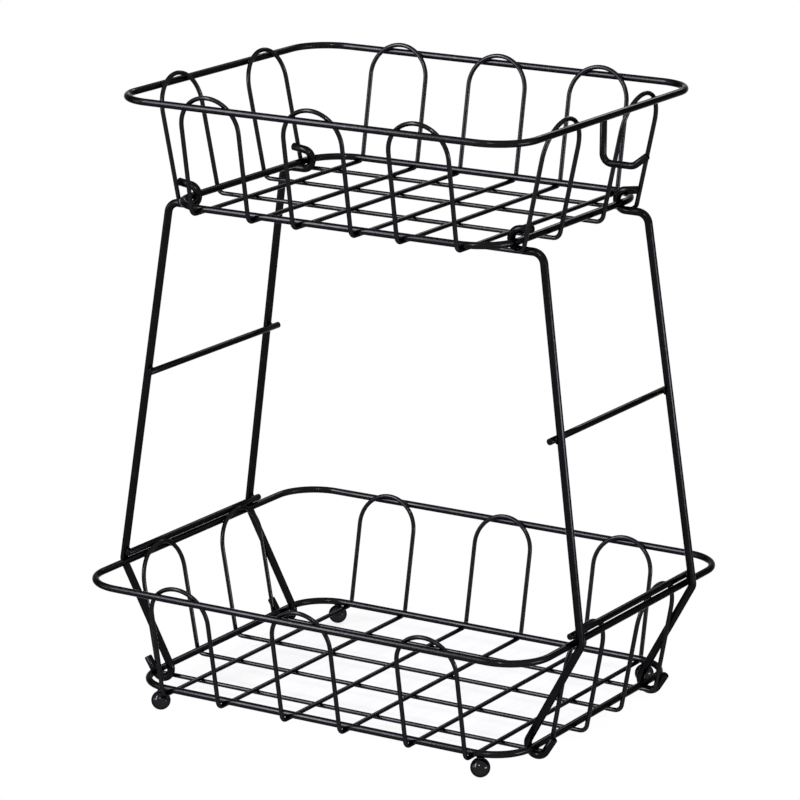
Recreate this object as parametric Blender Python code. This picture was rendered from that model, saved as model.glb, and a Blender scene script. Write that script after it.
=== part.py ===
"""Two-tier wire fruit basket.

Two trays of bent wire loops sit one above the other.  A pair of side frames
joins them: each leg of a frame is hooked under the base ring of the lower
tray, leans on the outside of its rim and ends in a curl that carries the base
ring of the upper tray.  Lengths are metres, +Z is up, the floor is z = 0, +X is
the right side and the front faces -Y.
"""

import math

import bmesh
import bpy


# Wire radii and the gap left where two wires are welded or rest together
frame_wire_r = 0.00275
rung_wire_r = 0.00225
rim_wire_r = 0.0024
loop_wire_r = 0.00155
weld_gap = 0.0003

# Lower tray, measured on the wire centre lines; the taper is how far the base
# ring stands in from the rim, and a loop share is where the middle of an outer
# loop lies on the way from the middle of the tray to the base ring
lower_rim_half_x = 0.1750
lower_rim_half_y = 0.1401
lower_rim_corner_r = 0.0300
lower_rim_rise = 0.0741
lower_taper_x = 0.0258
lower_taper_y = 0.0264
lower_ring_corner_r = 0.0280
lower_ring_height = 0.0159
lower_loop_width = 0.0454
lower_loop_share = 0.6481
lower_side_loop_width = 0.0491
lower_side_loop_share = 0.4292
lower_loop_stand_off = 0.0085
lower_side_loop_set_in = 0.0006

# Upper tray
upper_rim_half_x = 0.1533
upper_rim_half_y = 0.1247
upper_rim_corner_r = 0.0280
upper_rim_rise = 0.0728
upper_taper_x = 0.0265
upper_taper_y = 0.0247
upper_ring_corner_r = 0.0280
upper_ring_height = 0.3504
upper_loop_width = 0.0446
upper_loop_share = 0.6262
upper_side_loop_width = 0.0468
upper_side_loop_share = 0.5230
upper_loop_stand_off = 0.0080

# Shape of every loop: bend under the ring, and rise of the arch over the rim
loop_bend_r = 0.0055
loop_stand_off_height = 0.0050
arch_rise = 0.0068

# Ball feet under the lower base ring
foot_r = 0.0067
foot_from_loop = 0.0070

# Side frames
leg_bottom_gap = 0.00035
leg_top_gap = 0.0007
leg_lean_degrees = 8.1
ring_hook_play = 0.0020
ring_hook_tip_degrees = 58.0
ring_hook_tip_length = 0.0118
curl_r = 0.0068
curl_tip_degrees = 8.0
curl_tip_length = 0.0102
shoulder_bend_r = 0.0082
lower_rung_rise = 0.0056
lower_rung_overhang = 0.0046
mid_rung_height = 0.2264
mid_rung_overhang = 0.0064

# Hanging hook on the right side of the upper rim
side_hook_drop = 0.0300
side_hook_bend_r = 0.0062
side_hook_reach = 0.0174
side_hook_tip_out = 0.0273
side_hook_tip_drop = 0.0217
side_hook_tip_bend_r = 0.0075

# Facets along the bends
corner_steps = 7
arch_steps = 14
bend_steps = 3
curl_steps = 9
wrap_steps = 3
foot_segments = 14
foot_rings = 8

# Powder coat
coat_colour = (0.012, 0.012, 0.014, 1.0)
coat_roughness = 0.42
coat_metallic = 0.0

# Sizes that follow from the ones above
lower_ring_half_x = lower_rim_half_x - lower_taper_x
lower_ring_half_y = lower_rim_half_y - lower_taper_y
upper_ring_half_x = upper_rim_half_x - upper_taper_x
upper_ring_half_y = upper_rim_half_y - upper_taper_y
lower_loop_pitch = lower_ring_half_x * lower_loop_share
upper_loop_pitch = upper_ring_half_x * upper_loop_share
lower_side_loop_y = lower_ring_half_y * lower_side_loop_share
upper_side_loop_y = upper_ring_half_y * upper_side_loop_share
foot_x = lower_loop_pitch + lower_loop_width / 2 + foot_from_loop
leg_to_loop = frame_wire_r + loop_wire_r
leg_bottom_y = lower_side_loop_y + lower_side_loop_width / 2 + leg_to_loop + leg_bottom_gap
leg_top_y = upper_side_loop_y + upper_side_loop_width / 2 - leg_to_loop - leg_top_gap
lower_rim_height = lower_ring_height + lower_rim_rise
upper_rim_height = upper_ring_height + upper_rim_rise
front_loop_drop = rim_wire_r + loop_wire_r + weld_gap
side_loop_drop = front_loop_drop + loop_wire_r + loop_wire_r + weld_gap


def coat(name):
    """Black satin powder coat for one piece."""
    material = bpy.data.materials.new(name + "_coat")
    material.use_nodes = True
    shader = material.node_tree.nodes["Principled BSDF"]
    shader.inputs["Base Color"].default_value = coat_colour
    shader.inputs["Roughness"].default_value = coat_roughness
    shader.inputs["Metallic"].default_value = coat_metallic
    return material


def place(name, data, origin):
    """Add a piece to the scene with its origin at a point."""
    data.materials.append(coat(name))
    piece = bpy.data.objects.new(name, data)
    piece.location = origin
    bpy.context.scene.collection.objects.link(piece)
    return piece


def wire(name, points, radius, origin, sides, closed=False):
    """Round wire along a centre line; the ends of an open wire are cut flat."""
    curve = bpy.data.curves.new(name, "CURVE")
    curve.dimensions = "3D"
    curve.bevel_depth = radius
    curve.bevel_resolution = sides // 2 - 2
    curve.render_resolution_u = 0
    curve.use_fill_caps = not closed
    spline = curve.splines.new("POLY")
    spline.points.add(len(points) - 1)
    for node, point in zip(spline.points, points):
        node.co = [p - o for p, o in zip(point, origin)] + [1.0]
    spline.use_cyclic_u = closed
    spline.use_smooth = True
    return place(name, curve, origin)


def arc(centre, radius, start, end, steps):
    """Points on a circle between two angles, both ends included."""
    points = []
    for step in range(steps + 1):
        angle = start + (end - start) * step / steps
        points.append((centre[0] + radius * math.cos(angle), centre[1] + radius * math.sin(angle)))
    return points


def rounded_rectangle(half_x, half_y, corner_r):
    """Closed outline of a rectangle with round corners."""
    outline = []
    for quarter, (side_x, side_y) in enumerate(((1, 1), (-1, 1), (-1, -1), (1, -1))):
        centre = (side_x * (half_x - corner_r), side_y * (half_y - corner_r))
        start = quarter * math.pi / 2
        outline += arc(centre, corner_r, start, start + math.pi / 2, corner_steps)
    return outline


def bend(before, corner, after, radius, steps):
    """Arc of a given radius that rounds off the corner between two straights."""
    back = math.atan2(before[1] - corner[1], before[0] - corner[0])
    ahead = math.atan2(after[1] - corner[1], after[0] - corner[0])
    opening = (ahead - back + math.pi) % math.tau - math.pi
    reach = radius / abs(math.sin(opening / 2))
    middle = back + opening / 2
    centre = (corner[0] + reach * math.cos(middle), corner[1] + reach * math.sin(middle))
    half_turn = math.copysign(math.pi - abs(opening), opening) / 2
    outward = middle + math.pi
    return arc(centre, radius, outward + half_turn, outward - half_turn, steps)


def ring(name, half_x, half_y, corner_r, height):
    """Closed rim or base ring lying level."""
    points = [(x, y, height) for x, y in rounded_rectangle(half_x, half_y, corner_r)]
    return wire(name, points, rim_wire_r, (0, 0, height), 10, closed=True)


def wall_line(ring_half, stand_off, ring_height, floor_height, rim_half, set_in, rim_height, upright):
    """Centre line of a loop's wall seen edge on, as (outward, height) points.

    The first point is the sharp corner between the floor wire and the wall, the
    second is level with the rim, the third is the top of the arch.
    """
    foot = ring_half + stand_off
    foot_height = ring_height + loop_stand_off_height
    top = rim_half - rim_wire_r - loop_wire_r - weld_gap - set_in
    slope = (top - foot) / (rim_height - foot_height)
    corner = foot - slope * (foot_height - floor_height)
    peak = top if upright else top + slope * arch_rise
    return [(corner, floor_height), (top, rim_height), (peak, rim_height + arch_rise)]


def along(line, length):
    """Point at a length along a line of straight pieces."""
    for start, end in zip(line, line[1:]):
        piece = math.dist(start, end)
        if length <= piece or end == line[-1]:
            share = length / piece
            return tuple(s + (e - s) * share for s, e in zip(start, end))
        length -= piece


def loop(name, centre, width, line, across_x, origin_height):
    """Closed wire loop: two floor wires joined by an arched wall at each end."""
    half = width / 2
    inner_end = (0, line[0][1])
    foot = bend(inner_end, line[0], line[1], loop_bend_r, bend_steps)
    wall_length = math.dist(line[0], line[1]) + math.dist(line[1], line[2])
    points = []
    for end in (1, -1):
        side = end * half
        leg_up = [(side, out, height) for out, height in foot]
        leg_down = [(-side, out, height) for out, height in reversed(foot)]
        arch = []
        for across, rise in arc((0, wall_length - half), half, 0, math.pi, arch_steps):
            out, height = along(line, rise)
            arch.append((end * across, out, height))
        for across, out, height in leg_up + arch + leg_down:
            if across_x:
                points.append((centre + across, end * out, height))
            else:
                points.append((end * out, centre + across, height))
    origin = (centre, 0, origin_height) if across_x else (0, centre, origin_height)
    return wire(name, points, loop_wire_r, origin, 8, closed=True)


def foot_y():
    """Distance of a ball foot from the middle, where the ring passes over it."""
    past_straight = max(0, foot_x - (lower_ring_half_x - lower_ring_corner_r))
    centre_y = lower_ring_half_y - lower_ring_corner_r
    return centre_y + math.sqrt(lower_ring_corner_r ** 2 - past_straight ** 2)


def ball_foot(name, side_x, side_y):
    """Ball under the base ring with a small flat where it stands on the floor."""
    centre_height = lower_ring_height - rim_wire_r - weld_gap - foot_r
    flat_angle = math.asin(centre_height / foot_r)
    mesh = bpy.data.meshes.new(name)
    shell = bmesh.new()
    rows = []
    for out, height in arc((0, 0), foot_r, -flat_angle, math.pi / 2, foot_rings)[:-1]:
        row = []
        for turn in range(foot_segments):
            angle = math.tau * turn / foot_segments
            row.append(shell.verts.new((out * math.cos(angle), out * math.sin(angle), height)))
        rows.append(row)
    top = shell.verts.new((0, 0, foot_r))
    for below, above in zip(rows, rows[1:]):
        for turn in range(foot_segments):
            after = (turn + 1) % foot_segments
            shell.faces.new((below[turn], below[after], above[after], above[turn]))
    for turn in range(foot_segments):
        shell.faces.new((rows[-1][turn], rows[-1][(turn + 1) % foot_segments], top))
    for face in shell.faces:
        face.smooth = True
    shell.faces.new(list(reversed(rows[0])))
    shell.to_mesh(mesh)
    shell.free()
    return place(name, mesh, (side_x * foot_x, side_y * foot_y(), centre_height))


def leg_line():
    """Centre line of a leg seen from the front, as (outward, height) points.

    It runs from the tip of the hook under the base ring of the lower tray, up
    past the outside of the rim, to the tip of the curl under the upper tray.
    """
    hook_r = rim_wire_r + frame_wire_r + ring_hook_play
    wrap_r = rim_wire_r + frame_wire_r + weld_gap
    hook = (lower_ring_half_x, lower_ring_height)
    rim = (lower_rim_half_x, lower_rim_height)
    between = math.atan2(rim[1] - hook[1], rim[0] - hook[0])
    low_heading = between - math.asin((hook_r + wrap_r) / math.dist(hook, rim))
    high_heading = math.pi / 2 + math.radians(leg_lean_degrees)
    tip_heading = math.radians(ring_hook_tip_degrees)

    tip_start = arc(hook, hook_r, tip_heading - math.pi / 2, low_heading - 3 * math.pi / 2, curl_steps)
    tip = (
        tip_start[0][0] + ring_hook_tip_length * math.cos(tip_heading),
        tip_start[0][1] + ring_hook_tip_length * math.sin(tip_heading),
    )
    wrap = arc(rim, wrap_r, low_heading - math.pi / 2, high_heading - math.pi / 2, wrap_steps)

    nest = (curl_r - rim_wire_r - frame_wire_r - weld_gap) * math.sqrt(2) / 2
    curl = (upper_ring_half_x + nest, upper_ring_height + nest)
    arm_height = curl[1] - curl_r
    climb = (arm_height - wrap[-1][1]) / math.sin(high_heading)
    shoulder = (wrap[-1][0] + climb * math.cos(high_heading), arm_height)
    shoulder_bend = bend(wrap[-1], shoulder, (curl[0], arm_height), shoulder_bend_r, curl_steps // 2)
    end_heading = math.radians(curl_tip_degrees)
    curl_bend = arc(curl, curl_r, -math.pi / 2, end_heading - 3 * math.pi / 2, curl_steps)
    end = (
        curl_bend[-1][0] + curl_tip_length * math.cos(end_heading),
        curl_bend[-1][1] + curl_tip_length * math.sin(end_heading),
    )
    return [tip] + tip_start + wrap + shoulder_bend + curl_bend + [end], wrap[-1], shoulder_bend[0]


def side_frame(side_name, side):
    """Two hooked legs joined by a rung over the rim and one at mid height."""
    line, rim_point, shoulder_point = leg_line()
    origin = (side * lower_rim_half_x, 0, lower_rim_height)
    lean = math.radians(leg_lean_degrees)

    def leg_y(height):
        share = (height - rim_point[1]) / (shoulder_point[1] - rim_point[1])
        return leg_bottom_y + (leg_top_y - leg_bottom_y) * min(max(share, 0), 1)

    for end_name, end in (("front", -1), ("rear", 1)):
        points = [(side * out, end * leg_y(height), height) for out, height in line]
        wire(f"{side_name}_leg_{end_name}", points, frame_wire_r, origin, 10)
    step_in = (frame_wire_r + rung_wire_r + weld_gap) / math.cos(lean)
    rungs = (
        ("lower_rung", lower_rim_height + lower_rung_rise, lower_rung_overhang),
        ("mid_rung", mid_rung_height, mid_rung_overhang),
    )
    for rung_name, height, overhang in rungs:
        out = rim_point[0] - (height - rim_point[1]) * math.tan(lean) - step_in
        half = leg_y(height) + overhang
        ends = [(side * out, -half, height), (side * out, half, height)]
        wire(f"{side_name}_{rung_name}", ends, rung_wire_r, origin, 10)


def side_hook():
    """Hook hung from the inside of the right upper rim, open to the outside."""
    stem = upper_rim_half_x - rim_wire_r - rim_wire_r - weld_gap
    bottom = upper_rim_height - side_hook_drop
    top = (stem, upper_rim_height + rim_wire_r)
    heel = (stem, bottom)
    toe = (upper_rim_half_x + side_hook_reach, bottom)
    tip = (upper_rim_half_x + side_hook_tip_out, upper_rim_height - side_hook_tip_drop)
    line = [top]
    line += bend(top, heel, toe, side_hook_bend_r, curl_steps // 2)
    line += bend(heel, toe, tip, side_hook_tip_bend_r, bend_steps)
    line.append(tip)
    points = [(out, 0, height) for out, height in line]
    wire("side_hook", points, rim_wire_r, (0, 0, upper_rim_height), 10)


def tray(tier, rim, base, loops, side_loops, stand_off, side_set_in):
    """Rim, base ring and five wire loops of one tray."""
    rim_half_x, rim_half_y, rim_corner_r, rim_height = rim
    ring_half_x, ring_half_y, ring_corner_r, ring_height = base
    ring(f"{tier}_rim", rim_half_x, rim_half_y, rim_corner_r, rim_height)
    ring(f"{tier}_base_ring", ring_half_x, ring_half_y, ring_corner_r, ring_height)

    width, pitch = loops
    floor_height = ring_height - front_loop_drop
    line = wall_line(
        ring_half_y, stand_off, ring_height, floor_height, rim_half_y, 0, rim_height, False
    )
    for index, name in enumerate(("left", "middle", "right")):
        centre = (index - 1) * pitch
        loop(f"{tier}_front_back_loop_{name}", centre, width, line, True, ring_height)

    width, loop_y = side_loops
    floor_height = ring_height - side_loop_drop
    upright = side_set_in > 0
    line = wall_line(
        ring_half_x, stand_off, ring_height, floor_height, rim_half_x, side_set_in, rim_height, upright
    )
    for side, name in ((-1, "front"), (1, "rear")):
        loop(f"{tier}_side_loop_{name}", side * loop_y, width, line, False, ring_height)


def build():
    """All pieces, the lower tray first."""
    for old in list(bpy.data.objects):
        bpy.data.objects.remove(old)
    tray(
        "lower",
        (lower_rim_half_x, lower_rim_half_y, lower_rim_corner_r, lower_rim_height),
        (lower_ring_half_x, lower_ring_half_y, lower_ring_corner_r, lower_ring_height),
        (lower_loop_width, lower_loop_pitch),
        (lower_side_loop_width, lower_side_loop_y),
        lower_loop_stand_off,
        lower_side_loop_set_in,
    )
    for end_name, side_y in (("front", -1), ("rear", 1)):
        for side_name, side_x in (("left", -1), ("right", 1)):
            ball_foot(f"foot_{end_name}_{side_name}", side_x, side_y)
    tray(
        "upper",
        (upper_rim_half_x, upper_rim_half_y, upper_rim_corner_r, upper_rim_height),
        (upper_ring_half_x, upper_ring_half_y, upper_ring_corner_r, upper_ring_height),
        (upper_loop_width, upper_loop_pitch),
        (upper_side_loop_width, upper_side_loop_y),
        upper_loop_stand_off,
        0,
    )
    side_hook()
    for side_name, side in (("left", -1), ("right", 1)):
        side_frame(side_name, side)


build()
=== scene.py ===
"""Two-tier wire fruit basket: smooth powder-coated wires, weld beads and ball feet
laid over the fixed frame, with the pale stage that they are lit on."""

import math

import bmesh
import bpy
from bpy.props import FloatProperty, FloatVectorProperty, IntProperty, PointerProperty
from bpy.types import Operator, Panel, PropertyGroup
from mathutils import Matrix, Vector, noise


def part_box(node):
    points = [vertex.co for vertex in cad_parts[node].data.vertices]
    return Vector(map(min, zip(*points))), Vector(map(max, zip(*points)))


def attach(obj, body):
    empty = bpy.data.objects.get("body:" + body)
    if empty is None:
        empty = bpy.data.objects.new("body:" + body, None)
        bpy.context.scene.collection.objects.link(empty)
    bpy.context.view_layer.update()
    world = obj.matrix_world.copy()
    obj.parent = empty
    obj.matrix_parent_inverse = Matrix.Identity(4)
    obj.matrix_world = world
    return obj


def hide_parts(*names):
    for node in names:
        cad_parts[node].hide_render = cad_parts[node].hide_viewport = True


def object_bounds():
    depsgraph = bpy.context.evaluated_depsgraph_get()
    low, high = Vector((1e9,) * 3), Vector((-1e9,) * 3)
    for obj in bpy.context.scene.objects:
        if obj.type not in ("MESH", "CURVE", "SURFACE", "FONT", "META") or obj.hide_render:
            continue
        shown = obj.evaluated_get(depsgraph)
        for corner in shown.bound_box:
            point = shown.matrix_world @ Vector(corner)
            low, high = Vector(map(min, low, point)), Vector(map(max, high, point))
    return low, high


bl_info = {
    "name": "Wire Fruit Basket",
    "version": (1, 0, 0),
    "blender": (4, 5, 0),
    "location": "View3D > Sidebar > Basket",
    "description": "Builds the coated wires, welds and feet of a two-tier fruit basket",
    "category": "Object",
}

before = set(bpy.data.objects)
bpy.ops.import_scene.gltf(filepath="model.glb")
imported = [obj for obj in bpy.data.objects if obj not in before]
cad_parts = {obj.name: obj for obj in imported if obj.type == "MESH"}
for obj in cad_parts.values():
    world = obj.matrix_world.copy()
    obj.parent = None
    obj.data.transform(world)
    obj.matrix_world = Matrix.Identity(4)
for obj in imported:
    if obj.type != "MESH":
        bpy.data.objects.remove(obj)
CAD_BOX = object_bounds()

# Parts of the frame's node names. Sides, ends and loops come with their place along their axis
TIERS = ("lower", "upper")
SIDES = (("left", -1), ("right", 1))
ENDS = (("front", -1), ("rear", 1))
FRONT_BACK_LOOPS = (("left", -1), ("middle", 0), ("right", 1))
RUNGS = ("lower_rung", "mid_rung")

# Sizes in metres in which one tray differs from the values given in TraySizes
TRAY_DIFFERENCES = {
    "lower": {"set_in": 0.0006, "rear_drop": 0.0024},
    "upper": {"rim_corner": 0.028, "stand_off": 0.008},
}

# Fineness of surfaces, and the chamfer of a cut end as a share of the wire's radius
WRAP_EXTRA_STEPS = 2
RUNG_STEPS = 4
FOOT_SEGMENTS = 40
FOOT_ROWS = 22
CHAMFER_SHARE = 0.22

# Half sizes of weld beads: shares of a wire's radius, thickness in weld gaps, and how much
# taller than wide a bead between a loop and a rim is
LOOP_BEAD_SHARE = 0.85
LOOP_BEAD_GAPS = 3
UPRIGHT_BEAD_STRETCH = 1.25
FOOT_BEAD_SHARE = 1.05
HOOK_BEAD_HEIGHT_SHARE = 0.7
RUNG_BEAD_DEPTH_SHARE = 1.1
RUNG_BEAD_HEIGHT_SHARE = 1.18
BEAD_GAPS = 4

# How far under the rim's middle the hanging hook's bead lies, as a share of the rim's radius
HOOK_BEAD_DROP_SHARE = 0.6

# Uneven surface of a weld bead
BEAD_SUBDIVISIONS = 2
BEAD_UNEVENNESS = 0.16
BEAD_PATTERN_SCALE = 1.7
BEAD_SEED_STEP = (3.1, 1.7, 1.0)

# Slow changes of gloss: scale per metre, detail, range of noise used, roughness at its ends
GLOSS_SCALE = 46.0
GLOSS_DETAIL = 3.0
GLOSS_NOISE_RANGE = (0.3, 0.7)
GLOSS_CHANGE = (-0.05, 0.07)

# Rubbed spots: scale per metre, detail, roughness of the noise, range of noise used
SPOT_SCALE = 210.0
SPOT_DETAIL = 5.0
SPOT_ROUGHNESS = 0.62
SPOT_NOISE_RANGE = (0.56, 0.78)

# Relief: the peel's scale as a share of the grain's, depth as a share of the grain's size
GRAIN_DETAIL = 2.0
PEEL_SCALE_SHARE = 0.45
PEEL_SMOOTHNESS = 0.8
RELIEF_DEPTH_SHARE = 0.5

# Floor: size in metres, cells along a side, and where the shaded oval ends as a squared
# distance from its middle in half sizes of the basket
FLOOR_SIZE = 14
FLOOR_CELLS = 8
SHADE_EDGE = 0.95

# Lamps: name, stage value with the power, place, width and height, colour
LAMP_TARGET = (0, 0, 0.22)
WHITE = (1.0, 0.99, 0.99)
COOL_WHITE = (0.97, 0.98, 1.0)
LAMPS = (
    ("key_lamp", "key", (-1.29, -1.78, 1.3), (0.45, 1.7), WHITE),
    ("spark_lamp", "spark", (0.42, -1.88, 1.65), (0.12, 0.12), WHITE),
    ("right_lamp", "side", (2.29, 0.12, 0.15), (1.0, 0.26), WHITE),
    ("left_lamp", "fill", (-1.9, -1.2, 0.3), (0.5, 0.5), COOL_WHITE),
    ("back_lamp", "back", (-0.28, 1.99, 1.52), (0.8, 0.3), WHITE),
)

# Camera: place and target fitted to the photograph, sensor width in millimetres, end of view
CAMERA_PLACE = (1.407458, -2.318381, 0.932961)
CAMERA_TARGET = (-0.00373, -0.002285, 0.211101)
SENSOR_WIDTH = 36
CLIP_END = 50


def length(name, description, default):
    """A size that a user may change, in metres."""
    return FloatProperty(
        name=name, description=description, default=default, precision=5, unit="LENGTH"
    )


def angle(name, description, default):
    """An angle that a user may change, in radians."""
    return FloatProperty(name=name, description=description, default=default, subtype="ANGLE")


def share(name, description, default):
    """A share from none to all."""
    return FloatProperty(
        name=name, description=description, default=default, min=0, max=1, subtype="FACTOR"
    )


def number(name, description, default, least):
    """A plain number with a lower limit."""
    return FloatProperty(name=name, description=description, default=default, min=least)


def power(name, description, default):
    """Power of a lamp, in watts."""
    return FloatProperty(name=name, description=description, default=default, min=0, unit="POWER")


def colour(name, description, default):
    """A colour without transparency."""
    return FloatVectorProperty(
        name=name, description=description, default=default, size=3, min=0, max=1, subtype="COLOR"
    )


def half_span(node, axis):
    """Half of a node's extent along one axis of the frame."""
    low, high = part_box(node)
    return (high[axis] - low[axis]) / 2


def middle(node, axis):
    """Middle of a node's extent along one axis of the frame."""
    low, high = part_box(node)
    return (high[axis] + low[axis]) / 2


class WireSizes(PropertyGroup):
    """Thickness of the four wires, depth of their welds and fineness of their surface."""

    leg: length("Leg radius", "Wire radius of the side frames' legs", 0.00275)
    rung: length("Rung radius", "Wire radius of the side frames' rungs", 0.00225)
    rim: length("Rim radius", "Wire radius of rims, base rings and the hanging hook", 0.0024)
    loop: length("Loop radius", "Wire radius of the loops", 0.00155)
    gap: length("Weld gap", "Gap between two wires that a bead joins or that rest together", 0.0003)
    ring_sink: length("Ring weld depth", "How deep the loops are pressed into a base ring", 0.00075)
    loop_sink: length("Loop weld depth", "How deep crossing loops are pressed together", 0.00055)
    sides: IntProperty(
        name="Sides", description="Facets round a wire", default=16, min=6, max=48
    )
    corner_steps: IntProperty(
        name="Corner steps", description="Facets along a quarter turn", default=14, min=2
    )


class TraySizes(PropertyGroup):
    """Centre-line sizes of one tray."""

    rim_x: length("Rim half width", "Half the rim from side to side", 0.175)
    rim_y: length("Rim half depth", "Half the rim from front to back", 0.1401)
    rim_z: length("Rim height", "Height of the rim over the floor", 0.09)
    rim_corner: length("Rim corner", "Bend radius of the rim's corners", 0.03)
    ring_x: length("Ring half width", "Half the base ring from side to side", 0.1492)
    ring_y: length("Ring half depth", "Half the base ring from front to back", 0.1137)
    ring_z: length("Ring height", "Height of the base ring over the floor", 0.0159)
    ring_corner: length("Ring corner", "Bend radius of the base ring's corners", 0.028)
    loop_x: length("Loop spacing", "Middle of an outer front-back loop", 0.0967)
    loop_width: length("Loop width", "Width of a front-back loop", 0.0454)
    side_loop_y: length("Side loop spacing", "Middle of a side loop", 0.0488)
    side_loop_width: length("Side loop width", "Width of a side loop", 0.0491)
    stand_off: length("Stand-off", "How far a loop's wall stands outside the base ring", 0.0085)
    set_in: length("Set-in", "Extra room between the side arches and the rim", 0.0)
    bend: length("Loop bend", "Bend radius of a loop under the base ring", 0.0055)
    stand_off_height: length("Stand-off height", "Level of the stand-off over the ring", 0.005)
    arch_rise: length("Arch rise", "Rise of a front arch over the rim", 0.0068)
    rear_drop: length("Rear arch drop", "How much lower the rear arches end than the front ones", 0.0011)
    side_drop: length("Side arch drop", "How much lower the side arches end than the front ones", 0.001)


class FrameSizes(PropertyGroup):
    """Sizes of the side frames, the ball feet and the hanging hook."""

    lean: angle("Lean", "Lean of the upper legs", math.radians(8.1))
    hook_play: length("Hook play", "Free room round the base ring in the foot hook", 0.002)
    hook_tip_angle: angle("Hook tip angle", "Rise of the foot hook's tip", math.radians(58))
    hook_tip: length("Hook tip", "Straight end of the foot hook", 0.0118)
    curl: length("Curl", "Bend radius of the curl that carries the upper tray", 0.0068)
    curl_tip_angle: angle("Curl tip angle", "Rise of the curl's tip", math.radians(8))
    curl_tip: length("Curl tip", "Straight end of the curl", 0.0102)
    shoulder: length("Shoulder", "Bend radius of the shoulder", 0.0082)
    rung_drop: length("Right rung drop", "How much lower the right mid rung is welded", 0.003)
    foot: length("Foot radius", "Radius of a ball foot", 0.0067)
    stem_drop: length("Hook stem", "Drop of the hanging hook's stem under the rim's middle", 0.0006)
    drop: length("Hook drop", "Drop of the hanging hook under the rim", 0.0316)
    drop_bend: length("Hook heel", "Bend radius of the hanging hook's heel", 0.0062)
    reach: length("Hook reach", "Reach of the hanging hook outside the rim", 0.0174)
    tip_out: length("Hook tip reach", "Reach of the hanging hook's tip", 0.0276)
    tip_drop: length("Hook tip drop", "Drop of the hanging hook's tip under the rim", 0.0236)
    tip_bend: length("Hook toe", "Bend radius of the hanging hook's toe", 0.0075)


class CoatLook(PropertyGroup):
    """Black powder coat."""

    base: colour("Coat colour", "Colour of the powder coat", (0.0100, 0.0096, 0.0112))
    worn: colour("Rubbed colour", "Colour where the coat is rubbed", (0.018, 0.017, 0.0185))
    edge: share("Edge sheen", "Share of the light that the coat keeps at a glancing angle", 0.3)
    roughness: share("Roughness", "Roughness of the smooth coat", 0.2)
    top_ior: number("Top film", "Refraction of the thin top film", 1.04, 1)
    top_roughness: share("Top roughness", "Roughness of the thin top film", 0.16)
    grain: length("Grain", "Size of the coat's fine grain", 0.0005)
    relief: share("Relief", "Strength of the coat's fine grain", 0.03)


class StageLook(PropertyGroup):
    """Floor, lamps and camera."""

    floor: colour("Floor colour", "Colour of the pale floor", (0.9, 0.85, 0.96))
    shadow: share("Shadow", "Share of the floor's look that takes shadow under the basket", 0.16)
    shadow_fade: share("Shadow fade", "How softly the shaded floor turns white outward", 0.4)
    shadow_x: length("Shadow shift across", "Place of the shaded floor to the right", -0.024)
    shadow_y: length("Shadow shift back", "Place of the shaded floor to the rear", 0.045)
    ambient: number("Ambient", "Strength of the light from all round", 0.28, 0)
    key: power("Key", "Power of the tall key lamp", 68)
    key_roll: angle("Key roll", "Turn of the key lamp about its beam", math.radians(17.5))
    spark: power("Spark", "Power of the small front lamp", 18)
    side: power("Side", "Power of the lamp on the right", 26)
    fill: power("Fill", "Power of the lamp on the left", 6)
    back: power("Back", "Power of the lamp behind", 28)
    lens: number("Lens", "Focal length in millimetres", 186.33, 1)
    roll: angle("Roll", "Camera roll", 0.00424)


class BasketSettings(PropertyGroup):
    """Everything a user would change."""

    wires: PointerProperty(type=WireSizes)
    lower: PointerProperty(type=TraySizes)
    upper: PointerProperty(type=TraySizes)
    frames: PointerProperty(type=FrameSizes)
    coat: PointerProperty(type=CoatLook)
    stage: PointerProperty(type=StageLook)


def settings():
    """The basket settings of the open scene."""
    return bpy.context.scene.basket


def take_sizes_from_frame():
    """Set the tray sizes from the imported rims, base rings and loops."""
    basket = settings()
    for tier in TIERS:
        tray = getattr(basket, tier)
        tray.rim_x = half_span(f"{tier}_rim", 0) - basket.wires.rim
        tray.rim_y = half_span(f"{tier}_rim", 1) - basket.wires.rim
        tray.rim_z = middle(f"{tier}_rim", 2)
        tray.ring_x = half_span(f"{tier}_base_ring", 0) - basket.wires.rim
        tray.ring_y = half_span(f"{tier}_base_ring", 1) - basket.wires.rim
        tray.ring_z = middle(f"{tier}_base_ring", 2)
        tray.loop_x = middle(f"{tier}_front_back_loop_right", 0)
        tray.loop_width = 2 * (half_span(f"{tier}_front_back_loop_middle", 0) - basket.wires.loop)
        tray.side_loop_y = middle(f"{tier}_side_loop_rear", 1)
        tray.side_loop_width = 2 * (half_span(f"{tier}_side_loop_rear", 1) - basket.wires.loop)
        for field, value in TRAY_DIFFERENCES[tier].items():
            setattr(tray, field, value)


# Coat

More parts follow.
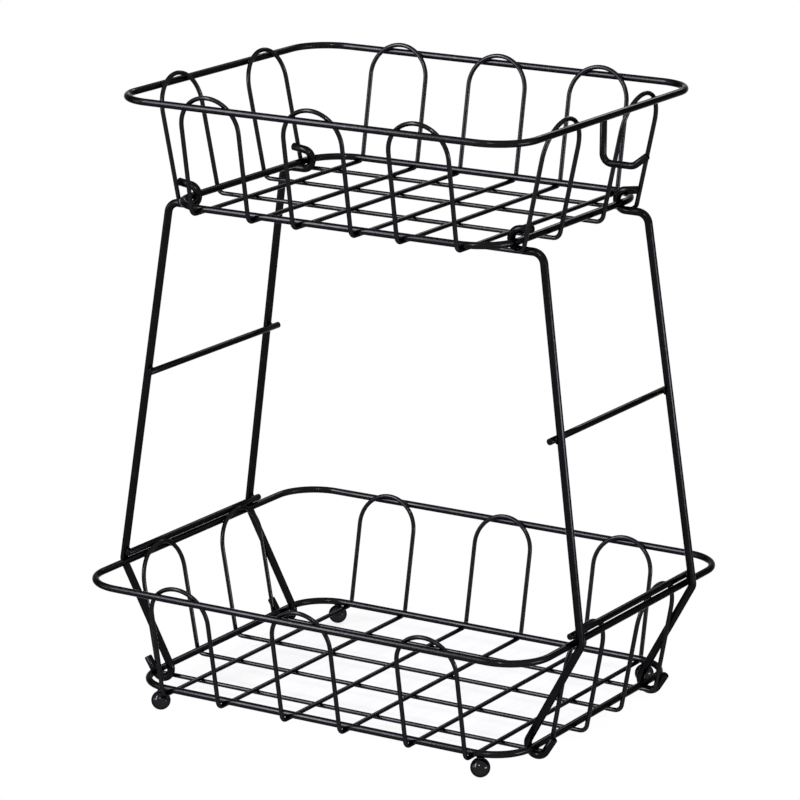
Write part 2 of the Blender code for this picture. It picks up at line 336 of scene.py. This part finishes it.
def coat(name, sheen=1.0, roughness_change=0.0, relief_change=1.0):
    """Powder coat with a fine grain, slow changes of gloss and faintly rubbed spots. The sheen is a
    factor on its colours that paints one piece's coat lighter or darker than another's, as lit and
    shaded copies of one coat."""
    look = settings().coat
    material = bpy.data.materials.new(name)
    material.use_nodes = True
    tree = material.node_tree
    tree.nodes.clear()
    add = tree.nodes.new
    link = tree.links.new

    output = add("ShaderNodeOutputMaterial")
    shader = add("ShaderNodeBsdfPrincipled")
    place = add("ShaderNodeTexCoord")
    shader.inputs["Metallic"].default_value = 1.0
    shader.inputs["Specular Tint"].default_value = (look.edge, look.edge, look.edge, 1.0)
    shader.inputs["Coat Weight"].default_value = 1.0
    shader.inputs["Coat IOR"].default_value = look.top_ior
    shader.inputs["Coat Roughness"].default_value = look.top_roughness
    link(shader.outputs["BSDF"], output.inputs["Surface"])

    flow = add("ShaderNodeTexNoise")
    flow.inputs["Scale"].default_value = GLOSS_SCALE
    flow.inputs["Detail"].default_value = GLOSS_DETAIL
    link(place.outputs["Object"], flow.inputs["Vector"])

    plain_roughness = look.roughness + roughness_change
    gloss = add("ShaderNodeMapRange")
    gloss.inputs["From Min"].default_value = GLOSS_NOISE_RANGE[0]
    gloss.inputs["From Max"].default_value = GLOSS_NOISE_RANGE[1]
    gloss.inputs["To Min"].default_value = plain_roughness + GLOSS_CHANGE[0]
    gloss.inputs["To Max"].default_value = plain_roughness + GLOSS_CHANGE[1]
    link(flow.outputs["Fac"], gloss.inputs["Value"])
    link(gloss.outputs["Result"], shader.inputs["Roughness"])

    spots = add("ShaderNodeTexNoise")
    spots.inputs["Scale"].default_value = SPOT_SCALE
    spots.inputs["Detail"].default_value = SPOT_DETAIL
    spots.inputs["Roughness"].default_value = SPOT_ROUGHNESS
    link(place.outputs["Object"], spots.inputs["Vector"])
    rubbed = add("ShaderNodeMapRange")
    rubbed.inputs["From Min"].default_value = SPOT_NOISE_RANGE[0]
    rubbed.inputs["From Max"].default_value = SPOT_NOISE_RANGE[1]
    link(spots.outputs["Fac"], rubbed.inputs["Value"])
    tone = add("ShaderNodeMix")
    tone.data_type = "RGBA"
    # Painted light and shade: the sheen factor makes this piece's coat lighter or darker than the plain
    # coat, as lit and shaded copies of one black coat
    tone.inputs["A"].default_value = (*(sheen * Vector(look.base)), 1.0)
    tone.inputs["B"].default_value = (*(sheen * Vector(look.worn)), 1.0)
    link(rubbed.outputs["Result"], tone.inputs["Factor"])
    link(tone.outputs["Result"], shader.inputs["Base Color"])

    grain = add("ShaderNodeTexNoise")
    grain.inputs["Scale"].default_value = 1.0 / look.grain
    grain.inputs["Detail"].default_value = GRAIN_DETAIL
    link(place.outputs["Object"], grain.inputs["Vector"])
    peel = add("ShaderNodeTexVoronoi")
    peel.feature = "SMOOTH_F1"
    peel.inputs["Scale"].default_value = PEEL_SCALE_SHARE / look.grain
    peel.inputs["Smoothness"].default_value = PEEL_SMOOTHNESS
    link(place.outputs["Object"], peel.inputs["Vector"])
    both = add("ShaderNodeMath")
    both.operation = "ADD"
    link(grain.outputs["Fac"], both.inputs[0])
    link(peel.outputs["Distance"], both.inputs[1])
    bump = add("ShaderNodeBump")
    bump.inputs["Strength"].default_value = look.relief * relief_change
    bump.inputs["Distance"].default_value = look.grain * RELIEF_DEPTH_SHARE
    link(both.outputs["Value"], bump.inputs["Height"])
    link(bump.outputs["Normal"], shader.inputs["Normal"])
    return material


# Wire centre lines

def arc(centre, radius, start, end, steps):
    """Points on a circle between two angles, both ends included."""
    points = []
    for step in range(steps + 1):
        turn = start + (end - start) * step / steps
        points.append((centre[0] + radius * math.cos(turn), centre[1] + radius * math.sin(turn)))
    return points


def steps_for(turn):
    """Facets along an arc of a given turn."""
    return max(2, math.ceil(settings().wires.corner_steps * abs(turn) / (math.pi / 2)))


def bend(before, corner, after, radius):
    """Arc that rounds off the corner between two straights."""
    back = math.atan2(before[1] - corner[1], before[0] - corner[0])
    ahead = math.atan2(after[1] - corner[1], after[0] - corner[0])
    opening = (ahead - back + math.pi) % math.tau - math.pi
    reach = radius / abs(math.sin(opening / 2))
    way = back + opening / 2
    centre = (corner[0] + reach * math.cos(way), corner[1] + reach * math.sin(way))
    half_turn = math.copysign(math.pi - abs(opening), opening) / 2
    outward = way + math.pi
    return arc(centre, radius, outward + half_turn, outward - half_turn, steps_for(2 * half_turn))


def rounded_rectangle(half_x, half_y, corner):
    """Closed outline of a rectangle with round corners."""
    outline = []
    for quarter, (side_x, side_y) in enumerate(((1, 1), (-1, 1), (-1, -1), (1, -1))):
        centre = (side_x * (half_x - corner), side_y * (half_y - corner))
        start = quarter * math.pi / 2
        outline += arc(centre, corner, start, start + math.pi / 2, steps_for(math.pi / 2))
    return outline


def wall_line(tray, sideways, end):
    """A loop's wall at one end, 1 for rear or right and -1 for front or left, seen edge on:
    its foot corner, its point at the rim's level and its arch top, as (outward, height)."""
    wires = settings().wires
    drop = wires.rim + wires.loop - wires.ring_sink
    if sideways:
        drop += 2 * wires.loop - wires.loop_sink
    ring_half, rim_half = (tray.ring_x, tray.rim_x) if sideways else (tray.ring_y, tray.rim_y)
    set_in = tray.set_in if sideways else 0
    foot = ring_half + tray.stand_off
    foot_z = tray.ring_z + tray.stand_off_height
    top = rim_half - wires.rim - wires.loop - wires.gap - set_in
    slope = (top - foot) / (tray.rim_z - foot_z)
    floor_z = tray.ring_z - drop
    corner = foot - slope * (foot_z - floor_z)
    rise = tray.arch_rise
    if sideways:
        rise -= tray.side_drop
    elif end > 0:
        rise -= tray.rear_drop
    peak = top if set_in > 0 else top + slope * rise
    return [(corner, floor_z), (top, tray.rim_z), (peak, tray.rim_z + rise)]


def along(line, distance):
    """Point at a distance along a line of straight pieces."""
    for start, end in zip(line, line[1:]):
        piece = math.dist(start, end)
        if distance <= piece or end == line[-1]:
            part = distance / piece
            return tuple(s + (e - s) * part for s, e in zip(start, end))
        distance -= piece


def loop_points(tray, centre, width, sideways):
    """Closed centre line of a loop: two floor wires joined by an arched wall at each end."""
    half = width / 2
    points = []
    for end in (1, -1):
        line = wall_line(tray, sideways, end)
        foot = bend((0, line[0][1]), line[0], line[1], tray.bend)
        wall = math.dist(line[0], line[1]) + math.dist(line[1], line[2])
        side = end * half
        route = [(side, out, height) for out, height in foot]
        for across, rise in arc((0, wall - half), half, 0, math.pi, steps_for(math.pi)):
            out, height = along(line, rise)
            route.append((end * across, out, height))
        route += [(-side, out, height) for out, height in reversed(foot)]
        for across, out, height in route:
            if sideways:
                points.append((end * out, centre + across, height))
            else:
                points.append((centre + across, end * out, height))
    return points


def leg_line():
    """Centre line of a leg seen from the front, as (outward, height) points, with the lower
    and the upper end of its straight upper run."""
    basket = settings()
    wires, sizes, lower, upper = basket.wires, basket.frames, basket.lower, basket.upper
    hook_r = wires.rim + wires.leg + sizes.hook_play
    wrap_r = wires.rim + wires.leg + wires.gap
    hook = (lower.ring_x, lower.ring_z)
    rim = (lower.rim_x, lower.rim_z)
    between = math.atan2(rim[1] - hook[1], rim[0] - hook[0])
    low = between - math.asin((hook_r + wrap_r) / math.dist(hook, rim))
    high = math.pi / 2 + sizes.lean
    tip = sizes.hook_tip_angle
    turn = low - tip - math.pi
    hook_arc = arc(hook, hook_r, tip - math.pi / 2, low - 3 * math.pi / 2, steps_for(turn))
    start = (
        hook_arc[0][0] + sizes.hook_tip * math.cos(tip),
        hook_arc[0][1] + sizes.hook_tip * math.sin(tip),
    )
    wrap_steps = steps_for(high - low) + WRAP_EXTRA_STEPS
    wrap = arc(rim, wrap_r, low - math.pi / 2, high - math.pi / 2, wrap_steps)
    nest = (sizes.curl - wires.rim - wires.leg - wires.gap) * math.sqrt(2) / 2
    curl = (upper.ring_x + nest, upper.ring_z + nest)
    arm_z = curl[1] - sizes.curl
    climb = (arm_z - wrap[-1][1]) / math.sin(high)
    corner = (wrap[-1][0] + climb * math.cos(high), arm_z)
    shoulder = bend(wrap[-1], corner, (curl[0], arm_z), sizes.shoulder)
    rise = sizes.curl_tip_angle
    curl_arc = arc(curl, sizes.curl, -math.pi / 2, rise - 3 * math.pi / 2, steps_for(math.pi - rise))
    end = (
        curl_arc[-1][0] + sizes.curl_tip * math.cos(rise),
        curl_arc[-1][1] + sizes.curl_tip * math.sin(rise),
    )
    return [start] + hook_arc + wrap + shoulder + curl_arc + [end], wrap[-1], shoulder[0]


def leg_depth(height, run_foot, run_top):
    """Distance of a leg from the middle, from front to back, at a height. It changes only
    along the straight upper run."""
    wire = settings().wires.leg
    place, half = abs(middle("left_leg_rear", 1)), half_span("left_leg_rear", 1)
    bottom = place + half - wire
    top = place - half + wire
    part = (height - run_foot[1]) / (run_top[1] - run_foot[1])
    return bottom + (top - bottom) * min(max(part, 0), 1)


def rung_height(side_name, rung_name):
    """Height of a rung. The right mid rung is welded a little lower than the left one."""
    height = middle(f"{side_name}_{rung_name}", 2)
    if side_name == "right" and rung_name == "mid_rung":
        height -= settings().frames.rung_drop
    return height


def leg_out(height, run_foot):
    """Distance of a leg's centre line from the middle, to the side, on its upper run."""
    return run_foot[0] - (height - run_foot[1]) * math.tan(settings().frames.lean)


# Surfaces and pieces

def headings_along(path, closed):
    """Heading of a line at each of its points."""
    headings = []
    last = len(path) - 1
    for index, point in enumerate(path):
        into = point - path[index - 1] if closed or index else path[1] - point
        out = path[(index + 1) % len(path)] - point if closed or index < last else into
        headings.append((into.normalized() + out.normalized()).normalized())
    return headings


def skin(shell, rows, closed=False):
    """Faces between rows of vertices that go round, with the last row joined to the first
    where the surface is closed."""
    pairs = list(zip(rows, rows[1:]))
    if closed:
        pairs.append((rows[-1], rows[0]))
    for below, above in pairs:
        for turn in range(len(below)):
            after = (turn + 1) % len(below)
            shell.faces.new((below[turn], below[after], above[after], above[turn]))


def smooth(shell):
    """Shade every face that the shell has so far as part of one smooth surface."""
    for face in shell.faces:
        face.smooth = True


def finished_mesh(name, shell):
    """Mesh of a finished shell."""
    mesh = bpy.data.meshes.new(name)
    shell.to_mesh(mesh)
    shell.free()
    return mesh


def tube(name, points, radius, closed=False):
    """Round wire swept along a centre line; cut ends get a small chamfer."""
    sides = settings().wires.sides
    path = [Vector(point) for point in points]
    if not closed:
        chamfer = radius * CHAMFER_SHARE
        path.insert(1, path[0] + (path[1] - path[0]).normalized() * chamfer)
        path.insert(-1, path[-1] + (path[-2] - path[-1]).normalized() * chamfer)
    radii = [radius] * len(path)
    if not closed:
        radii[0] = radii[-1] = radius - chamfer
    headings = headings_along(path, closed)
    spokes = [headings[0].orthogonal().normalized()]
    for before, heading in zip(headings, headings[1:]):
        spoke = before.rotation_difference(heading) @ spokes[-1]
        spokes.append((spoke - heading * spoke.dot(heading)).normalized())
    twist = 0.0
    if closed:
        arriving = headings[-1].rotation_difference(headings[0]) @ spokes[-1]
        twist = math.atan2(arriving.dot(headings[0].cross(spokes[0])), arriving.dot(spokes[0]))
    shell = bmesh.new()
    rows = []
    for index, (centre, heading, spoke) in enumerate(zip(path, headings, spokes)):
        across = heading.cross(spoke)
        row = []
        for side in range(sides):
            turn = math.tau * side / sides - twist * index / len(path)
            rim = spoke * math.cos(turn) + across * math.sin(turn)
            row.append(shell.verts.new(centre + rim * radii[index]))
        rows.append(row)
    skin(shell, rows, closed)
    smooth(shell)
    if not closed:
        shell.faces.new(list(reversed(rows[0])))
        shell.faces.new(rows[-1])
    return finished_mesh(name, shell)


def ball(name, centre, radius):
    """Ball foot whose lowest part is cut off flat at the floor."""
    flat = math.asin(centre.z / radius)
    shell = bmesh.new()
    rows = []
    for out, height in arc((0, 0), radius, -flat, math.pi / 2, FOOT_ROWS)[:-1]:
        row = []
        for segment in range(FOOT_SEGMENTS):
            turn = math.tau * segment / FOOT_SEGMENTS
            spoke = Vector((out * math.cos(turn), out * math.sin(turn), height))
            row.append(shell.verts.new(centre + spoke))
        rows.append(row)
    skin(shell, rows)
    top = shell.verts.new(centre + Vector((0, 0, radius)))
    for segment in range(FOOT_SEGMENTS):
        shell.faces.new((rows[-1][segment], rows[-1][(segment + 1) % FOOT_SEGMENTS], top))
    smooth(shell)
    shell.faces.new(list(reversed(rows[0])))
    return finished_mesh(name, shell)


def add_piece(name, mesh, material, body, slot, *nodes):
    """Put a mesh into the scene on a body of the frame, in place of its CAD nodes."""
    if not mesh.polygons:
        raise RuntimeError(f"{name} has no surface")
    mesh.materials.append(material)
    piece = bpy.data.objects.new(name, mesh)
    bpy.context.scene.collection.objects.link(piece)
    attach(piece, body)
    if nodes:
        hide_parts(*nodes)


class BASKET_OT_rims(Operator):
    """Bend the rim and the base ring of each tray"""

    bl_idname = "basket.rims"
    bl_label = "Rims and Base Rings"

    def execute(self, context):
        """Make one closed wire for each rim and each base ring."""
        basket = settings()
        # Painted light: sheen 1.1 paints the rims' and base rings' coat a little lighter than the plain
        # coat
        finish = coat("rim_coat", sheen=1.1)
        for tier in TIERS:
            tray = getattr(basket, tier)
            rims = (
                (f"{tier}_rim", tray.rim_x, tray.rim_y, tray.rim_corner, tray.rim_z),
                (f"{tier}_base_ring", tray.ring_x, tray.ring_y, tray.ring_corner, tray.ring_z),
            )
            for node, half_x, half_y, corner, height in rims:
                points = [(x, y, height) for x, y in rounded_rectangle(half_x, half_y, corner)]
                mesh = tube(f"{node}_wire", points, basket.wires.rim, closed=True)
                add_piece(f"{node}_wire", mesh, finish, f"{tier}_tray", node, node)
        return {"FINISHED"}


class BASKET_OT_loops(Operator):
    """Bend the closed wire loops that make the floor and walls of each tray"""

    bl_idname = "basket.loops"
    bl_label = "Wire Loops"

    def execute(self, context):
        """Make three front-back loops and two side loops for each tray."""
        basket = settings()
        # Painted light: sheen 1.4 paints the loops' coat lighter than the plain coat
        finish = coat("loop_coat", sheen=1.4, roughness_change=0.02)
        for tier in TIERS:
            tray = getattr(basket, tier)
            loops = [
                (f"{tier}_front_back_loop_{name}", place * tray.loop_x, tray.loop_width, False)
                for name, place in FRONT_BACK_LOOPS
            ]
            loops += [
                (f"{tier}_side_loop_{name}", end * tray.side_loop_y, tray.side_loop_width, True)
                for name, end in ENDS
            ]
            for node, centre, width, sideways in loops:
                points = loop_points(tray, centre, width, sideways)
                mesh = tube(f"{node}_wire", points, basket.wires.loop, closed=True)
                add_piece(f"{node}_wire", mesh, finish, f"{tier}_tray", node, node)
        return {"FINISHED"}


class BASKET_OT_feet(Operator):
    """Turn the four ball feet with their small flat on the floor"""

    bl_idname = "basket.feet"
    bl_label = "Ball Feet"

    def execute(self, context):
        """Make the four balls under the lower base ring."""
        radius = settings().frames.foot
        # Painted light: sheen 1.7 paints the ball feet's coat lighter than the plain coat
        finish = coat("ball_foot_coat", sheen=1.7, roughness_change=-0.06)
        for end_name, _ in ENDS:
            for side_name, _ in SIDES:
                node = f"foot_{end_name}_{side_name}"
                _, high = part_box(node)
                centre = Vector((middle(node, 0), middle(node, 1), high.z - radius))
                mesh = ball(f"{node}_ball", centre, radius)
                add_piece(f"{node}_ball", mesh, finish, "lower_tray", node, node)
        return {"FINISHED"}


class BASKET_OT_side_frames(Operator):
    """Bend the hooked legs and cut the rungs of both side frames"""

    bl_idname = "basket.side_frames"
    bl_label = "Side Frames"

    def execute(self, context):
        """Make two legs and two rungs for each side frame."""
        basket = settings()
        wires = basket.wires
        # Painted shade: sheen 0.8 paints the legs' and rungs' coat darker than the plain coat
        leg_finish = coat("leg_coat", sheen=0.8)
        rung_finish = coat("rung_coat", sheen=0.8, roughness_change=0.03)
        line, run_foot, run_top = leg_line()
        step_in = (wires.leg + wires.rung + wires.gap) / math.cos(basket.frames.lean)
        for side_name, side in SIDES:
            body = f"{side_name}_frame"
            for end_name, end in ENDS:
                node = f"{side_name}_leg_{end_name}"
                points = []
                for out, height in line:
                    points.append((side * out, end * leg_depth(height, run_foot, run_top), height))
                mesh = tube(f"{node}_wire", points, wires.leg)
                add_piece(f"{node}_wire", mesh, leg_finish, body, node, node)
            for rung_name in RUNGS:
                node = f"{side_name}_{rung_name}"
                height = rung_height(side_name, rung_name)
                half = half_span(node, 1)
                out = leg_out(height, run_foot) - step_in
                points = []
                for step in range(RUNG_STEPS + 1):
                    points.append((side * out, -half + 2 * half * step / RUNG_STEPS, height))
                mesh = tube(f"{node}_wire", points, wires.rung)
                add_piece(f"{node}_wire", mesh, rung_finish, body, node, node)
        return {"FINISHED"}


class BASKET_OT_side_hook(Operator):
    """Bend the hanging hook on the right side of the upper rim"""

    bl_idname = "basket.side_hook"
    bl_label = "Hanging Hook"

    def execute(self, context):
        """Make the hook's stem, heel, toe and tip as one wire."""
        basket = settings()
        sizes, upper = basket.frames, basket.upper
        stem = upper.rim_x - 2 * basket.wires.rim - basket.wires.gap
        bottom = upper.rim_z - sizes.drop
        top = (stem, upper.rim_z - sizes.stem_drop)
        heel = (stem, bottom)
        toe = (upper.rim_x + sizes.reach, bottom)
        tip = (upper.rim_x + sizes.tip_out, upper.rim_z - sizes.tip_drop)
        heel_bend = bend(top, heel, toe, sizes.drop_bend)
        toe_bend = bend(heel, toe, tip, sizes.tip_bend)
        points = [(out, 0, height) for out, height in [top] + heel_bend + toe_bend + [tip]]
        mesh = tube("side_hook_wire", points, basket.wires.rim)
        # Painted shade: sheen 0.9 paints the hook's coat a little darker than the plain coat
        finish = coat("hook_coat", sheen=0.9)
        add_piece("side_hook_wire", mesh, finish, "upper_tray", "side_hook", "side_hook")
        return {"FINISHED"}


# Weld beads, each as its centre and its half sizes

def tray_beads(tier):
    """Beads of one tray: where loops cross the rim and the base ring, and each other."""
    basket = settings()
    wires, tray = basket.wires, getattr(basket, tier)
    width = wires.loop * LOOP_BEAD_SHARE
    upright = (width, width, width * UPRIGHT_BEAD_STRETCH)
    flat = (width, width, wires.gap * LOOP_BEAD_GAPS)
    ring_touch = tray.ring_z - wires.rim + wires.ring_sink / 2
    beads = []
    for sideways in (False, True):
        half = (tray.side_loop_width if sideways else tray.loop_width) / 2
        ring_half, rim_half = (tray.ring_x, tray.rim_x) if sideways else (tray.ring_y, tray.rim_y)
        places = ENDS if sideways else FRONT_BACK_LOOPS
        pitch = tray.side_loop_y if sideways else tray.loop_x
        for _, place in places:
            for wire_side in (-1, 1):
                for end in (-1, 1):
                    _, rim_level, peak = wall_line(tray, sideways, end)
                    over = half - math.dist(rim_level, peak)
                    across = place * pitch + wire_side * math.sqrt(half * half - over * over)
                    out = end * (rim_half - wires.rim + rim_level[0] + wires.loop) / 2
                    spot = (out, across, tray.rim_z) if sideways else (across, out, tray.rim_z)
                    beads.append((Vector(spot), upright))
                    if not sideways:
                        spot = (place * pitch + wire_side * half, end * ring_half, ring_touch)
                        beads.append((Vector(spot), flat))
    touch = tray.ring_z - wires.rim - 2 * wires.loop + wires.ring_sink + wires.loop_sink / 2
    for _, place in FRONT_BACK_LOOPS:
        for wire_side in (-1, 1):
            x = place * tray.loop_x + wire_side * tray.loop_width / 2
            for _, end in ENDS:
                for side_wire_side in (-1, 1):
                    y = end * tray.side_loop_y + side_wire_side * tray.side_loop_width / 2
                    beads.append((Vector((x, y, touch)), flat))
    return beads


def foot_beads():
    """Beads between the ball feet and the lower base ring."""
    wires = settings().wires
    width = wires.rim * FOOT_BEAD_SHARE
    beads = []
    for end_name, _ in ENDS:
        for side_name, _ in SIDES:
            node = f"foot_{end_name}_{side_name}"
            _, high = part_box(node)
            spot = Vector((middle(node, 0), middle(node, 1), high.z))
            beads.append((spot, (width, width, wires.gap * BEAD_GAPS)))
    return beads


def hook_bead():
    """Bead between the hanging hook and the upper rim."""
    basket = settings()
    wires, upper = basket.wires, basket.upper
    out = upper.rim_x - wires.rim - wires.gap / 2
    height = upper.rim_z - wires.rim * HOOK_BEAD_DROP_SHARE
    size = (wires.gap * BEAD_GAPS, wires.rim, wires.rim * HOOK_BEAD_HEIGHT_SHARE)
    return Vector((out, 0, height)), size


def rung_beads(side_name, side):
    """Beads between the rungs and the legs of one side frame."""
    wires = settings().wires
    depth, tall = wires.rung * RUNG_BEAD_DEPTH_SHARE, wires.rung * RUNG_BEAD_HEIGHT_SHARE
    _, run_foot, run_top = leg_line()
    beads = []
    for rung_name in RUNGS:
        height = rung_height(side_name, rung_name)
        out = leg_out(height, run_foot) - wires.leg - wires.gap / 2
        for _, end in ENDS:
            spot = Vector((side * out, end * leg_depth(height, run_foot, run_top), height))
            beads.append((spot, (wires.gap * BEAD_GAPS, depth, tall)))
    return beads


def bead(shell, centre, size, seed):
    """Small uneven weld bead."""
    made = bmesh.ops.create_icosphere(shell, subdivisions=BEAD_SUBDIVISIONS, radius=1.0)
    shift = Vector([seed * step for step in BEAD_SEED_STEP])
    for vertex in made["verts"]:
        swell = 1 + BEAD_UNEVENNESS * noise.noise(vertex.co * BEAD_PATTERN_SCALE + shift)
        vertex.co = centre + Vector([c * s * swell for c, s in zip(vertex.co, size)])


class BASKET_OT_welds(Operator):
    """Set the weld beads where wires cross"""

    bl_idname = "basket.welds"
    bl_label = "Weld Beads"

    def execute(self, context):
        """Join the beads of each body to one piece."""
        finish = coat("weld_coat", roughness_change=0.08, relief_change=2.0)
        groups = [
            ("lower_tray", "lower_base_ring", tray_beads("lower") + foot_beads()),
            ("upper_tray", "upper_base_ring", tray_beads("upper") + [hook_bead()]),
        ]
        for side_name, side in SIDES:
            beads = rung_beads(side_name, side)
            groups.append((f"{side_name}_frame", f"{side_name}_mid_rung", beads))
        for body, slot, beads in groups:
            shell = bmesh.new()
            for seed, (centre, size) in enumerate(beads, start=1):
                bead(shell, centre, size, seed)
            smooth(shell)
            mesh = finished_mesh(f"{body}_weld_beads", shell)
            add_piece(f"{body}_weld_beads", mesh, finish, body, slot)
        return {"FINISHED"}


# Stage

def seen_directly(tree):
    """Factor that is one for camera, glossy and transmission rays."""
    path = tree.nodes.new("ShaderNodeLightPath")
    total = path.outputs["Is Camera Ray"]
    for output in ("Is Glossy Ray", "Is Transmission Ray"):
        add = tree.nodes.new("ShaderNodeMath")
        add.operation = "ADD"
        add.use_clamp = True
        tree.links.new(total, add.inputs[0])
        tree.links.new(path.outputs[output], add.inputs[1])
        total = add.outputs["Value"]
    return total


def surroundings(look):
    """World that lights softly from all round and is seen as white."""
    world = bpy.data.worlds.new("basket_surroundings")
    world.use_nodes = True
    tree = world.node_tree
    sky = tree.nodes["Background"]
    sky.inputs["Color"].default_value = (1.0, 1.0, 1.0, 1.0)
    level = tree.nodes.new("ShaderNodeMix")
    level.data_type = "FLOAT"
    level.inputs["A"].default_value = look.ambient
    level.inputs["B"].default_value = 1.0
    tree.links.new(seen_directly(tree), level.inputs["Factor"])
    tree.links.new(level.outputs["Result"], sky.inputs["Strength"])
    return world


def squared_distance(tree, look):
    """Squared distance from the middle of the shaded floor, in half sizes of the basket. It
    is the same all round an oval that is nearly a rectangle."""
    place = tree.nodes.new("ShaderNodeTexCoord")
    shift = tree.nodes.new("ShaderNodeVectorMath")
    shift.operation = "SUBTRACT"
    shift.inputs[1].default_value = (look.shadow_x, look.shadow_y, 0.0)
    tree.links.new(place.outputs["Object"], shift.inputs[0])
    reach = tree.nodes.new("ShaderNodeVectorMath")
    reach.operation = "DIVIDE"
    reach.inputs[1].default_value = (CAD_BOX[1][0], CAD_BOX[1][1], 1.0)
    tree.links.new(shift.outputs["Vector"], reach.inputs[0])
    square = tree.nodes.new("ShaderNodeVectorMath")
    square.operation = "MULTIPLY"
    tree.links.new(reach.outputs["Vector"], square.inputs[0])
    tree.links.new(reach.outputs["Vector"], square.inputs[1])
    distance = tree.nodes.new("ShaderNodeVectorMath")
    distance.operation = "LENGTH"
    tree.links.new(square.outputs["Vector"], distance.inputs[0])
    return distance.outputs["Value"]


def pale_floor(look):
    """Floor that is seen as white and takes a faint shadow under the basket."""
    surface = bpy.data.materials.new("pale_floor")
    surface.use_nodes = True
    tree = surface.node_tree
    tree.nodes.clear()
    output = tree.nodes.new("ShaderNodeOutputMaterial")
    matt = tree.nodes.new("ShaderNodeBsdfDiffuse")
    matt.inputs["Color"].default_value = (*look.floor, 1.0)
    glow = tree.nodes.new("ShaderNodeEmission")
    glow.inputs["Strength"].default_value = 1.0
    bright = tree.nodes.new("ShaderNodeMapRange")
    bright.interpolation_type = "SMOOTHSTEP"
    bright.inputs["From Min"].default_value = SHADE_EDGE - look.shadow_fade
    bright.inputs["From Max"].default_value = SHADE_EDGE
    bright.inputs["To Min"].default_value = 1 - look.shadow
    bright.inputs["To Max"].default_value = 1.0
    tree.links.new(squared_distance(tree, look), bright.inputs["Value"])
    amount = tree.nodes.new("ShaderNodeMath")
    amount.operation = "MULTIPLY"
    tree.links.new(seen_directly(tree), amount.inputs[0])
    tree.links.new(bright.outputs["Result"], amount.inputs[1])
    mix = tree.nodes.new("ShaderNodeMixShader")
    tree.links.new(amount.outputs["Value"], mix.inputs["Fac"])
    tree.links.new(matt.outputs["BSDF"], mix.inputs[1])
    tree.links.new(glow.outputs["Emission"], mix.inputs[2])
    tree.links.new(mix.outputs["Shader"], output.inputs["Surface"])
    return surface


def aim(thing, target, roll):
    """Point a lamp or camera at a target and turn it about its view."""
    way = (Vector(target) - thing.location).to_track_quat("-Z", "Y").to_matrix().to_4x4()
    turned = way @ Matrix.Rotation(roll, 4, "Z")
    thing.rotation_euler = turned.to_euler()


def softbox(name, place, size, watts, tint, roll):
    """Soft lamp aimed at the basket."""
    data = bpy.data.lights.new(name, "AREA")
    data.shape = "RECTANGLE"
    data.size, data.size_y = size
    data.energy = watts
    data.color = tint
    lamp = bpy.data.objects.new(name, data)
    lamp.location = place
    aim(lamp, LAMP_TARGET, roll)
    bpy.context.scene.collection.objects.link(lamp)


def basket_camera(look):
    """Camera at the photograph's viewing angle."""
    data = bpy.data.cameras.new("basket_camera")
    data.sensor_width = SENSOR_WIDTH
    data.lens = look.lens
    data.clip_end = CLIP_END
    camera = bpy.data.objects.new("basket_camera", data)
    camera.location = CAMERA_PLACE
    aim(camera, CAMERA_TARGET, look.roll)
    bpy.context.scene.collection.objects.link(camera)
    return camera


class BASKET_OT_stage(Operator):
    """Lay the pale floor, light it and set the camera"""

    bl_idname = "basket.stage"
    bl_label = "Stage"

    def execute(self, context):
        """Make the surroundings, the floor, the lamps and the camera."""
        look = settings().stage
        scene = context.scene
        scene.world = surroundings(look)
        bpy.ops.mesh.primitive_grid_add(
            x_subdivisions=FLOOR_CELLS, y_subdivisions=FLOOR_CELLS, size=FLOOR_SIZE
        )
        floor = context.object
        floor.name = "stage_floor"
        floor.data.materials.append(pale_floor(look))
        for name, source, place, size, tint in LAMPS:
            roll = look.key_roll if source == "key" else 0.0
            softbox(name, place, size, getattr(look, source), tint, roll)
        scene.camera = basket_camera(look)
        scene.view_settings.view_transform = "Standard"
        return {"FINISHED"}


class BASKET_PT_panel(Panel):
    """Sizes, colours and build steps of the basket"""

    bl_idname = "BASKET_PT_panel"
    bl_label = "Wire Fruit Basket"
    bl_space_type = "VIEW_3D"
    bl_region_type = "UI"
    bl_category = "Basket"

    def draw(self, context):
        """List the build steps, then the values of each group."""
        basket = context.scene.basket
        column = self.layout.column(align=True)
        for operator in OPERATORS:
            column.operator(operator.bl_idname, text=operator.bl_label)
        for title, group in (
            ("Wires", basket.wires),
            ("Lower tray", basket.lower),
            ("Upper tray", basket.upper),
            ("Side frames", basket.frames),
            ("Coat", basket.coat),
            ("Stage", basket.stage),
        ):
            box = self.layout.box()
            box.label(text=title)
            for field in group.__annotations__:
                box.prop(group, field)


GROUPS = (WireSizes, TraySizes, FrameSizes, CoatLook, StageLook, BasketSettings)
OPERATORS = (
    BASKET_OT_rims,
    BASKET_OT_loops,
    BASKET_OT_feet,
    BASKET_OT_side_frames,
    BASKET_OT_side_hook,
    BASKET_OT_welds,
    BASKET_OT_stage,
)
CLASSES = GROUPS + OPERATORS + (BASKET_PT_panel,)


def register():
    """Register the classes and give each scene its basket settings."""
    for cls in CLASSES:
        bpy.utils.register_class(cls)
    bpy.types.Scene.basket = PointerProperty(type=BasketSettings)


def unregister():
    """Take the basket settings and the classes away again."""
    del bpy.types.Scene.basket
    for cls in reversed(CLASSES):
        bpy.utils.unregister_class(cls)


def main():
    """Build the basket and its stage."""
    register()
    take_sizes_from_frame()
    bpy.ops.basket.rims()
    bpy.ops.basket.loops()
    bpy.ops.basket.feet()
    bpy.ops.basket.side_frames()
    bpy.ops.basket.side_hook()
    bpy.ops.basket.welds()
    bpy.ops.basket.stage()


if __name__ == "__main__":
    main()
